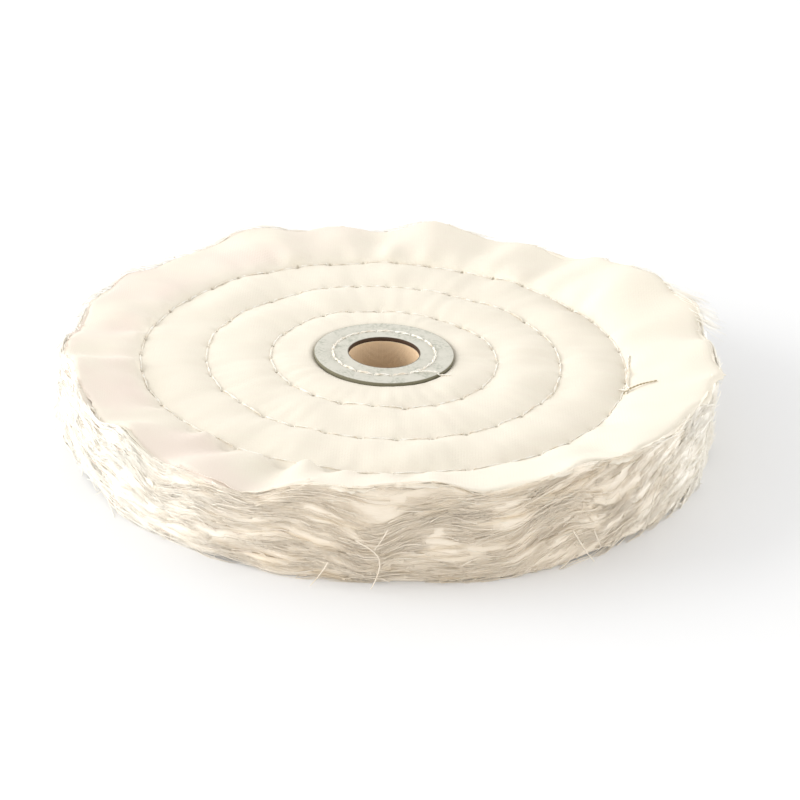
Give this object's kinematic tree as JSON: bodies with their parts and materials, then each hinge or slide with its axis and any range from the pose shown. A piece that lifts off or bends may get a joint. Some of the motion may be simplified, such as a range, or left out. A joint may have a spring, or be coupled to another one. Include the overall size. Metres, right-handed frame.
{
  "type": "stitched cotton polishing wheel",
  "caption": "Round polishing wheel of stacked cotton cloth plies sewn in concentric rows, with a board washer around the arbor hole on each face and a loose, frayed edge.",
  "frame": {"origin": "on the bore axis, in the plane that the wheel lies on", "axes": "+Z along the bore axis, out of the upper face; +X and +Y across the wheel"},
  "size_m": [0.15, 0.15, 0.02],
  "materials": {
    "cotton_cloth": "matte",
    "washer_board": "matte",
    "cotton_thread": "matte"
  },
  "bodies": {
    "root": {"lower_centre_washer": "washer_board", "ply_01": "cotton_cloth", "ply_02": "cotton_cloth", "ply_03": "cotton_cloth", "ply_04": "cotton_cloth", "ply_05": "cotton_cloth", "ply_06": "cotton_cloth", "ply_07": "cotton_cloth", "ply_08": "cotton_cloth", "ply_09": "cotton_cloth", "ply_10": "cotton_cloth", "ply_11": "cotton_cloth", "ply_12": "cotton_cloth", "ply_13": "cotton_cloth", "ply_14": "cotton_cloth", "ply_15": "cotton_cloth", "ply_16": "cotton_cloth", "ply_17": "cotton_cloth", "ply_18": "cotton_cloth", "ply_19": "cotton_cloth", "ply_20": "cotton_cloth", "ply_21": "cotton_cloth", "ply_22": "cotton_cloth", "ply_23": "cotton_cloth", "ply_24": "cotton_cloth", "ply_25": "cotton_cloth", "ply_26": "cotton_cloth", "ply_27": "cotton_cloth", "ply_28": "cotton_cloth", "ply_29": "cotton_cloth", "ply_30": "cotton_cloth", "ply_31": "cotton_cloth", "ply_32": "cotton_cloth", "ply_33": "cotton_cloth", "ply_34": "cotton_cloth", "ply_35": "cotton_cloth", "ply_36": "cotton_cloth", "ply_37": "cotton_cloth", "ply_38": "cotton_cloth", "ply_39": "cotton_cloth", "ply_40": "cotton_cloth", "upper_centre_washer": "washer_board", "needle_thread_washer_row": "cotton_thread", "needle_thread_inner_row": "cotton_thread", "needle_thread_middle_row": "cotton_thread", "needle_thread_outer_row": "cotton_thread", "bobbin_thread_washer_row": "cotton_thread", "bobbin_thread_inner_row": "cotton_thread", "bobbin_thread_middle_row": "cotton_thread", "bobbin_thread_outer_row": "cotton_thread"}
  },
  "joints": []
}
